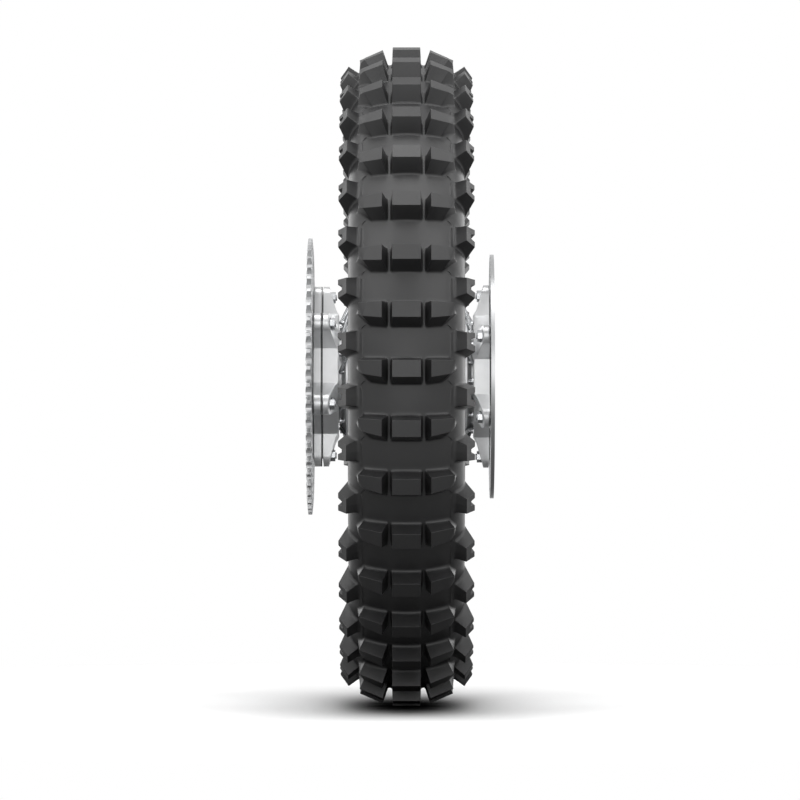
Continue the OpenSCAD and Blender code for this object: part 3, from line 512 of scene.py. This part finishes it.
# Rings of points from the carcass round a knob's foot, up its walls and over the edge of its face
def knobRings(shape, side, rowAngle):
    face, foot, sideSteps, creases, (fillet, leadFillet) = shape()
    faceCorners = [Vector((side * y, r, t)) for y, r, t in face]
    footCorners = [Vector((side * surfaceU(abs(y)) * (1.0 if y >= 0.0 else -1.0), t)) for y, t in foot]
    faceLoop = roundedLoop(faceCorners, tyre["faceCorner"], sideSteps)
    footLoop = roundedLoop(footCorners, tyre["footCorner"], sideSteps)
    footOut = outwardNormals(footLoop)
    faceOut = outwardNormals([Vector((p.x, p.z)) for p in faceLoop])

    def footAngle(p):
        return rowAngle + math.atan2(p.y, carcassAt(p.x)[1])

    def footPoint(p):
        return onCarcass(p.x, footAngle(p))

    def facePoint(p):
        r, angle = math.hypot(p.y, p.z), math.atan2(p.z, p.y)
        return onWheel(p.x, r, rowAngle + angle)

    columns, plan = [], []
    for below, away, above, lift in zip(footLoop, footOut, faceLoop, faceOut):
        reach = fillet + (leadFillet - fillet) * max(0.0, away.y) ** 3
        start = below + away * reach
        plan.append(Vector((start.x, angleScale * footAngle(start))))
        low, corner, high = footPoint(start), footPoint(below), facePoint(above)
        wall = high - corner
        rise = corner + wall.normalized() * reach * tyre["footRise"]
        brink = high - wall.normalized() * tyre["edge"]
        inner = facePoint(above - Vector((lift.x, 0.0, lift.y)) * tyre["edge"])
        columns.append([low, bezier(low, corner, rise, 0.3), bezier(low, corner, rise, 0.65), rise,
                        rise.lerp(brink, 0.5), brink, bezier(brink, high, inner, 0.5), inner])
    rings = list(zip(*columns))
    cap = [Vector((p.x, p.z)) for p in faceLoop]
    starts = [sum(2 + n for n in sideSteps[:k]) for k in range(len(sideSteps))]
    ridges = [(starts[a] + 1, starts[b] + 1) for a, b in creases]
    return rings, plan, cap, ridges


# Points and triangles of a plan, inside its edges and along them
def triangulate(points, edges):
    insideEdges, tolerance = 1, 1e-6
    meshed = delaunay_2d_cdt(points, edges, [], insideEdges, tolerance)
    return meshed[0], meshed[2]


def addKnob(verts, faces, rings, cap, ridges):
    base = len(verts)
    count = len(cap)
    for ring in rings:
        verts.extend(ring)
    for level in range(len(rings) - 1):
        for i in range(count):
            a = base + level * count + i
            b = base + level * count + (i + 1) % count
            faces.append((a, b, b + count, a + count))
    rim = [(i, (i + 1) % count) for i in range(count)]
    triangles = triangulate(cap, rim + ridges)[1]
    faces.extend(tuple(base + (len(rings) - 1) * count + i for i in triangle) for triangle in triangles)


def sample(a, b, step):
    count = max(1, round((b - a).length / step))
    return [a.lerp(b, k / count) for k in range(count)]


ledgeLines = (-0.5, 0.5)    # foot and top of the ledge, in shares of its width


# Distances below the row at which the two lines of the ledge cross a lateral place
def ledgeCrossings(y):
    crossings = []
    halvings = 40
    for offset in ledgeLines:
        low, high = tyre["panelEdge"][0][0], tyre["panelEdge"][3][0]    # the line runs outwards between these
        for _ in range(halvings):
            middle = (low + high) / 2
            if panelEdgeAt(middle) + offset * tyre["ledgeWidth"] < y:
                low = middle
            else:
                high = middle
        crossings.append(low)
    return crossings


# Runs of plan points along the foot and the top of the ledge, broken where they leave the bare carcass
def ledgeRuns(border, plans, crossings):
    runs = []
    firstStep, spacing, number = tyre["ledgeSteps"]
    borderGap, footGap = tyre["ledgeClear"]
    for offset, crossing in zip(ledgeLines, crossings):
        steps = sorted([firstStep + spacing * k for k in range(number)] + [crossing])
        for side, shift in ((1.0, 0.0), (1.0, pitch), (-1.0, 0.0), (-1.0, pitch)):
            run = []
            for below in steps:
                y = panelEdgeAt(below) + offset * tyre["ledgeWidth"]
                point = Vector((side * surfaceU(y), shift - below))
                free = below == crossing
                if not free and insideLoop(point, border) and clearOfLoop(point, border, borderGap):
                    free = all(outsideLoop(point, plan, footGap) for plan in plans)
                if free:
                    run.append(point)
                elif run:
                    runs.append(run)
                    run = []
            runs.append(run)
    return [run for run in runs if len(run) > 1]


# Carcass between the knobs, meshed in the plan of (u, v) and wrapped round the wheel
def addCarcass(verts, faces, plans):
    stepU, stepV = tyre["seam"]
    crossings = ledgeCrossings(carcassAt(stepU)[0])
    stair = [stepV] + [-v for v in sorted(crossings)] + [-pitch / 2]
    path = [Vector((edgeU, stepV))] + [Vector((stepU, v)) for v in stair]
    path += [Vector((-p.x, p.y)) for p in reversed(path)]
    lower = [p for a, b in zip(path, path[1:]) for p in sample(a, b, tyre["gridStep"])] + [path[-1]]
    up = Vector((0.0, pitch))
    rise = [Vector((-edgeU, stepV + pitch * k / tyre["steps"])) for k in range(1, tyre["steps"])]
    fall = [Vector((edgeU, p.y)) for p in reversed(rise)]
    border = lower + rise + [p + up for p in reversed(lower)] + fall
    points = list(border)
    edges = [(i, (i + 1) % len(border)) for i in range(len(border))]
    for plan in plans:
        first = len(points)
        points += plan
        edges += [(first + i, first + (i + 1) % len(plan)) for i in range(len(plan))]
    for run in ledgeRuns(border, plans, crossings):
        edges += [(len(points) + i, len(points) + i + 1) for i in range(len(run) - 1)]
        points += run
    step = tyre["gridStep"]
    borderGap, footGap = (step * share for share in tyre["gridClear"])
    reach = range(-tyre["gridReach"], tyre["gridReach"] + 1)
    for row in reach:
        for column in reach:
            point = Vector(((column + 0.5 * (row % 2)) * step, row * step * tyre["gridRow"]))
            if not insideLoop(point, border) or not clearOfLoop(point, border, borderGap):
                continue
            if all(outsideLoop(point, plan, footGap) for plan in plans):
                points.append(point)
    points, triangles = triangulate(points, edges)
    base = len(verts)
    verts.extend(onCarcass(p.x, p.y / angleScale) for p in points)
    for triangle in triangles:
        middle = sum((points[i] for i in triangle), Vector((0.0, 0.0))) / 3
        if insideLoop(middle, border) and not any(insideLoop(middle, plan) for plan in plans):
            faces.append(tuple(base + i for i in triangle))
    return stepV / angleScale


def arcPoint(centre, r, degrees):
    turn = math.radians(degrees)
    return centre[0] + r * math.cos(turn), centre[1] + r * math.sin(turn)


def arcPoints(centre, r, start, end, count):
    return [arcPoint(centre, r, start + (end - start) * k / count) for k in range(count + 1)]


# Section below the tread mesh: sidewall with fine moulded ribs, bead, and the wall inside
def sidewallSection():
    lowerCentre = (tyre["halfWidth"] - tyre["lowerR"], tyre["wideR"])
    beadIn, beadOut, beadR, beadTop = tyre["bead"]
    outside = [(tyre["halfWidth"], tyre["wideR"])]
    for degrees in tyre["ribs"]:
        for turn, proud in tyre["ribShape"]:
            outside.append(arcPoint(lowerCentre, tyre["lowerR"] + proud, degrees - turn))
    outside += arcPoints(lowerCentre, tyre["lowerR"], *tyre["wallArc"], count=4)
    heel, toe, toeRise = tyre["beadCuts"]
    bead = [(beadOut, beadTop), (beadOut, beadR + heel), (beadOut - heel, beadR), (beadIn + toe, beadR),
            (beadIn, beadR + toe), (beadIn, beadTop + toeRise)]
    archDegrees = math.degrees(archTilt)
    shoulderStart, crownStart = 8.0, 90.0 - archDegrees * 0.8       # degrees at which the inner arcs begin
    inside = arcPoints(lowerCentre, tyre["lowerR"] - tyre["wall"], *tyre["innerArc"], count=6)
    inside += arcPoints(archCentre, archR - tyre["wall"], shoulderStart, 90.0 - archDegrees, count=3)
    inside += arcPoints((0.0, crownCentre), tyre["crownArc"] - tyre["underTread"], crownStart, 90.0, count=4)
    return outside + bead + inside


def addSidewalls(verts, faces, startAngle):
    half = sidewallSection()
    for side in (1.0, -1.0):
        base = len(verts)
        for step in range(tyre["steps"] + 1):
            angle = startAngle + pitchAngle * step / tyre["steps"]
            verts.extend(onWheel(side * y, r, angle) for y, r in half)
        for step in range(tyre["steps"]):
            for i in range(len(half) - 1):
                a = base + step * len(half) + i
                faces.append((a, a + 1, a + 1 + len(half), a + len(half)))


def pitchMesh():
    verts, faces, plans = [], [], []
    knobs = [(centreKnob, 1.0, 0.0)]
    knobs += [(midKnob, side, 0.0) for side in (1.0, -1.0)]
    knobs += [(sideKnob, side, pitchAngle / 2) for side in (1.0, -1.0)]
    for shape, side, rowAngle in knobs:
        rings, plan, cap, ridges = knobRings(shape, side, rowAngle)
        addKnob(verts, faces, rings, cap, ridges)
        plans.append(plan)
    startAngle = addCarcass(verts, faces, plans)
    addSidewalls(verts, faces, startAngle)
    mesh = bpy.data.meshes.new("tyrePitch")
    mesh.from_pydata([v * mm for v in verts], [], faces)
    mesh.update()
    return mesh


meshRules = {
    "seamMerge": 0.02 * mm,     # repeats that meet within this are joined
    "merge": 0.01 * mm,         # points nearer than this become one
    "shortest": 0.001 * mm,     # shorter edges go
    "flat": 0.3,                # degrees below which two faces count as one
    "roundFrom": 25.0,          # degrees from which an edge is rounded
    "roundSegments": 2,
}


# Geometry Nodes tree that repeats a piece round the axle
def makeRoundAxleTree():
    tree = bpy.data.node_groups.new("roundAxle", "GeometryNodeTree")
    face = tree.interface
    face.new_socket("Geometry", in_out="INPUT", socket_type="NodeSocketGeometry")
    for label, kind in (("Count", "NodeSocketInt"), ("First Angle", "NodeSocketFloat"),
                        ("Finish", "NodeSocketMaterial")):
        face.new_socket(label, in_out="INPUT", socket_type=kind)
    face.new_socket("Geometry", in_out="OUTPUT", socket_type="NodeSocketGeometry")
    add = tree.nodes.new
    groupIn, groupOut = add("NodeGroupInput"), add("NodeGroupOutput")
    points, index = add("GeometryNodePoints"), add("GeometryNodeInputIndex")
    place, real = add("GeometryNodeInstanceOnPoints"), add("GeometryNodeRealizeInstances")
    merge, finish = add("GeometryNodeMergeByDistance"), add("GeometryNodeSetMaterial")
    turn = add("ShaderNodeCombineXYZ")
    step = mathNode(tree, "DIVIDE", math.tau, groupIn.outputs["Count"])
    turned = mathNode(tree, "MULTIPLY", index.outputs[0], step)
    angle = mathNode(tree, "ADD", turned, groupIn.outputs["First Angle"])
    link = tree.links.new
    link(angle, turn.inputs["Y"])
    link(groupIn.outputs["Count"], points.inputs["Count"])
    link(points.outputs[0], place.inputs["Points"])
    link(groupIn.outputs["Geometry"], place.inputs["Instance"])
    link(turn.outputs[0], place.inputs["Rotation"])
    link(place.outputs[0], real.inputs[0])
    link(real.outputs[0], merge.inputs["Geometry"])
    merge.inputs["Distance"].default_value = meshRules["seamMerge"]
    link(merge.outputs[0], finish.inputs["Geometry"])
    link(groupIn.outputs["Finish"], finish.inputs["Material"])
    link(finish.outputs[0], groupOut.inputs[0])
    return tree


roundAxle = makeRoundAxleTree()


def plainMesh(source, name):
    depsgraph = bpy.context.evaluated_depsgraph_get()
    mesh = bpy.data.meshes.new_from_object(source.evaluated_get(depsgraph), depsgraph=depsgraph)
    mesh.name = name
    return mesh


def repeatRoundAxle(mesh, count, firstAngle, finish):
    source = bpy.data.objects.new(mesh.name + "Source", mesh)
    scene.collection.objects.link(source)
    modifier = source.modifiers.new("roundAxle", "NODES")
    modifier.node_group = roundAxle
    values = {"Count": count, "First Angle": firstAngle, "Finish": finish}
    for item in roundAxle.interface.items_tree:
        if item.in_out == "INPUT" and item.name in values:
            modifier[item.identifier] = values[item.name]
    result = plainMesh(source, mesh.name + "Ring")
    bpy.data.objects.remove(source)
    return result


# Merges and smooths a mesh, rounds its sharp edges by up to bevel metres and keeps flat faces flat
def finishMesh(mesh, sharpDegrees, bevel=0.0):
    work = bmesh.new()
    work.from_mesh(mesh)
    bmesh.ops.remove_doubles(work, verts=work.verts, dist=meshRules["merge"])
    bmesh.ops.dissolve_degenerate(work, dist=meshRules["shortest"], edges=work.edges)
    if bevel > 0.0:
        flat = math.radians(meshRules["flat"])
        bmesh.ops.dissolve_limit(work, angle_limit=flat, verts=work.verts, edges=work.edges)
    bmesh.ops.recalc_face_normals(work, faces=work.faces)
    work.to_mesh(mesh)
    work.free()
    mesh.shade_smooth()
    mesh.set_sharp_from_angle(angle=math.radians(sharpDegrees))
    source = bpy.data.objects.new(mesh.name + "Source", mesh)
    scene.collection.objects.link(source)
    if bevel > 0.0:
        rounding = source.modifiers.new("edgeRound", "BEVEL")
        rounding.width, rounding.segments = bevel, meshRules["roundSegments"]
        rounding.limit_method, rounding.angle_limit = "ANGLE", math.radians(meshRules["roundFrom"])
    weighted = source.modifiers.new("flatFaces", "WEIGHTED_NORMAL")
    weighted.keep_sharp = True
    result = plainMesh(source, mesh.name.removesuffix("Raw"))
    bpy.data.objects.remove(source)
    bpy.data.meshes.remove(mesh)
    uses = [0] * len(result.edges)
    for loop in result.loops:
        uses[loop.edge_index] += 1
    triangles = sum(len(p.vertices) - 2 for p in result.polygons)
    print("mesh", result.name, "triangles", triangles, "open edges", sum(1 for n in uses if n != 2))
    return result


def addPiece(name, mesh, node):
    piece = bpy.data.objects.new(name, mesh)
    scene.collection.objects.link(piece)
    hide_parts(node)
    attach(piece, bodyOf[node])


tyreMesh = repeatRoundAxle(pitchMesh(), tyre["rows"], math.radians(tyre["phase"]), finishes["tyre_rubber"])
addPiece("tyreTread", finishMesh(tyreMesh, tyre["sharp"]), "tyre")
print("tyre made")


copySharp = 25.0    # degrees from which an edge of a copy shades sharp


# The other pieces that can be seen: merged copies of the solids, so that round faces shade smoothly
def smoothCopy(node, bevel):
    mesh = frame["nodes"][node].data.copy()
    mesh.name = node + "MeshRaw"
    addPiece(node + "Piece", finishMesh(mesh, copySharp, bevel * mm), node)


edgeRounds = {      # most that an edge is rounded, in millimetres
    "hub": 0.9, "sprocket_carrier": 0.9, "sprocket": 0.35, "brake_disc": 0.4, "rim": 0.0,
    "sprocket_bolts": 0.15, "sprocket_nuts": 0.35, "disc_bolts": 0.15, "disc_nuts": 0.35,
    "spoke_nipples": 0.0, "chain_outer_spokes": 0.0, "chain_inner_spokes": 0.0,
    "disc_outer_spokes": 0.0, "disc_inner_spokes": 0.0,
    "chain_collar": 0.4, "disc_collar": 0.4, "chain_seal": 0.3, "disc_seal": 0.3,
    "valve_stem": 0.2, "valve_nut": 0.3, "valve_cap": 0.3,
}
for nodeName, width in edgeRounds.items():
    smoothCopy(nodeName, width)
print("smooth copies made:", len(edgeRounds))


# Studio, in metres: pale floor that fades into a white surround, with a painted contact shadow, soft lamps,
# level camera from behind
studio = {
    "floorZ": cadBox[0][2],
    "floorSize": 3.0,
    "floorSides": 96,
    "fade": (0.45, 1.0),    # radii between which the floor gives way to the white surround
    "contactReach": 0.21,   # how far the painted contact shadow darkens the floor's colour round the part
    "contactDepth": 1.2,    # how steeply that painted shadow deepens
    "floorBounce": 0.10,    # how pale the floor is to light that lands on the part
    "floorGloss": 0.28,     # and in reflections
    "cameraDistance": 6.373,
    "cameraReach": 50.0,    # farthest that it sees
    "sensor": 36.0,
    "lens": 291.3,
    "shiftPixels": (-6.5, -23.5),   # how far the picture's centre lies from the wheel's
    "pictureWidth": 800,
    "ambient": (0.03, 0.35),        # light from below and from above
    "horizon": (-0.05, 0.05),       # heights between which one gives way to the other
    # lamps: name, degrees up, degrees round from the camera, distance, width as a share of it, watts;
    # one off the centre line has a twin on the other side
    "lamps": [("top", 80.0, 0.0, 3.0, 0.53, 24.0), ("camera", 8.0, 0.0, 7.0, 0.53, 66.0),
              ("low", 8.0, 105.0, 3.0, 0.8, 13.0), ("back", 8.0, 140.0, 3.0, 0.53, 14.0),
              ("front", 32.0, 35.0, 3.0, 0.53, 15.0), ("high", 56.0, 35.0, 3.0, 0.53, 14.0),
              ("side", 50.0, 105.0, 3.0, 0.53, 13.0)],
}


def makeFloor():
    mesh = bpy.data.meshes.new("floor")
    work = bmesh.new()
    bmesh.ops.create_circle(work, cap_ends=True, segments=studio["floorSides"], radius=studio["floorSize"])
    work.to_mesh(mesh)
    work.free()
    for vertex in mesh.vertices:
        vertex.co.z = studio["floorZ"]
    floor = bpy.data.objects.new("floor", mesh)
    scene.collection.objects.link(floor)
    material, tree, shader = newMaterial("paleFloor")
    rays = addNode(tree, "ShaderNodeLightPath")
    gloss = mathNode(tree, "MULTIPLY", rays.outputs["Is Glossy Ray"], studio["floorGloss"])
    seen = mathNode(tree, "MAXIMUM", rays.outputs["Is Camera Ray"], rays.outputs["Is Transmission Ray"])
    seen = mathNode(tree, "MAXIMUM", seen, gloss)
    # Painted contact shadow: ambient occlusion round the part darkens the floor's colour
    near = addNode(tree, "ShaderNodeAmbientOcclusion", samples=16)
    setInputs(near, Distance=studio["contactReach"])
    soft = mapRange(tree, near.outputs["AO"], (0.0, 1.0), (0.0, 1.0), "SMOOTHSTEP")
    shade = mathNode(tree, "POWER", soft, studio["contactDepth"])
    level = mathNode(tree, "MULTIPLY", shade, mathNode(tree, "MAXIMUM", seen, studio["floorBounce"]))
    tree.links.new(mixColours(tree, level, (0.0, 0.0, 0.0), (1.0, 1.0, 1.0)), shader.inputs["Base Color"])
    setInputs(shader, **{"Roughness": 0.9, "Specular IOR Level": 0.0})
    parts = coordParts(tree, "Object")
    radius = rootOfSquares(tree, parts["X"], parts["Y"])
    tree.links.new(mapRange(tree, radius, studio["fade"], (1.0, 0.0), "SMOOTHSTEP"), shader.inputs["Alpha"])
    mesh.materials.append(material)


# White to the camera and to reflections, a dim sky to everything else
def makeSurround():
    world = bpy.data.worlds.new("surround")
    scene.world = world
    world.use_nodes = True
    tree = world.node_tree
    shade = tree.nodes["Background"]
    rays = addNode(tree, "ShaderNodeLightPath")
    seen = mathNode(tree, "MAXIMUM", rays.outputs["Is Camera Ray"], rays.outputs["Is Glossy Ray"])
    seen = mathNode(tree, "MAXIMUM", seen, rays.outputs["Is Transmission Ray"])
    sky = mapRange(tree, coordParts(tree, "Generated")["Z"], studio["horizon"], studio["ambient"])
    shade.inputs["Color"].default_value = (1.0, 1.0, 1.0, 1.0)
    tree.links.new(mathNode(tree, "MAXIMUM", seen, sky), shade.inputs["Strength"])


def addLamp(name, place, size, power):
    data = bpy.data.lights.new(name, "AREA")
    data.shape = "DISK"
    data.size = size
    data.energy = power
    lamp = bpy.data.objects.new(name, data)
    lamp.location = place
    lamp.rotation_euler = (-place).to_track_quat("-Z", "Y").to_euler()
    scene.collection.objects.link(lamp)


def addLamps():
    for name, rise, turn, distance, width, power in studio["lamps"]:
        level, height = distance * math.cos(math.radians(rise)), distance * math.sin(math.radians(rise))
        along, across = -level * math.cos(math.radians(turn)), level * math.sin(math.radians(turn))
        twins = (("Left", 1.0), ("Right", -1.0)) if turn else (("", 1.0),)
        for label, side in twins:
            addLamp(name + "Lamp" + label, Vector((along, side * across, height)), width * distance, power)


def makeCamera():
    data = bpy.data.cameras.new("rearCamera")
    data.lens = studio["lens"]
    data.sensor_width = studio["sensor"]
    data.shift_x, data.shift_y = (pixels / studio["pictureWidth"] for pixels in studio["shiftPixels"])
    data.clip_end = studio["cameraReach"]
    camera = bpy.data.objects.new("rearCamera", data)
    camera.location = (-studio["cameraDistance"], 0.0, 0.0)
    camera.rotation_euler = (math.radians(90.0), 0.0, math.radians(-90.0))
    scene.collection.objects.link(camera)
    scene.camera = camera


makeFloor()
makeSurround()
addLamps()
makeCamera()
scene.view_settings.view_transform = "Standard"
print("studio made")
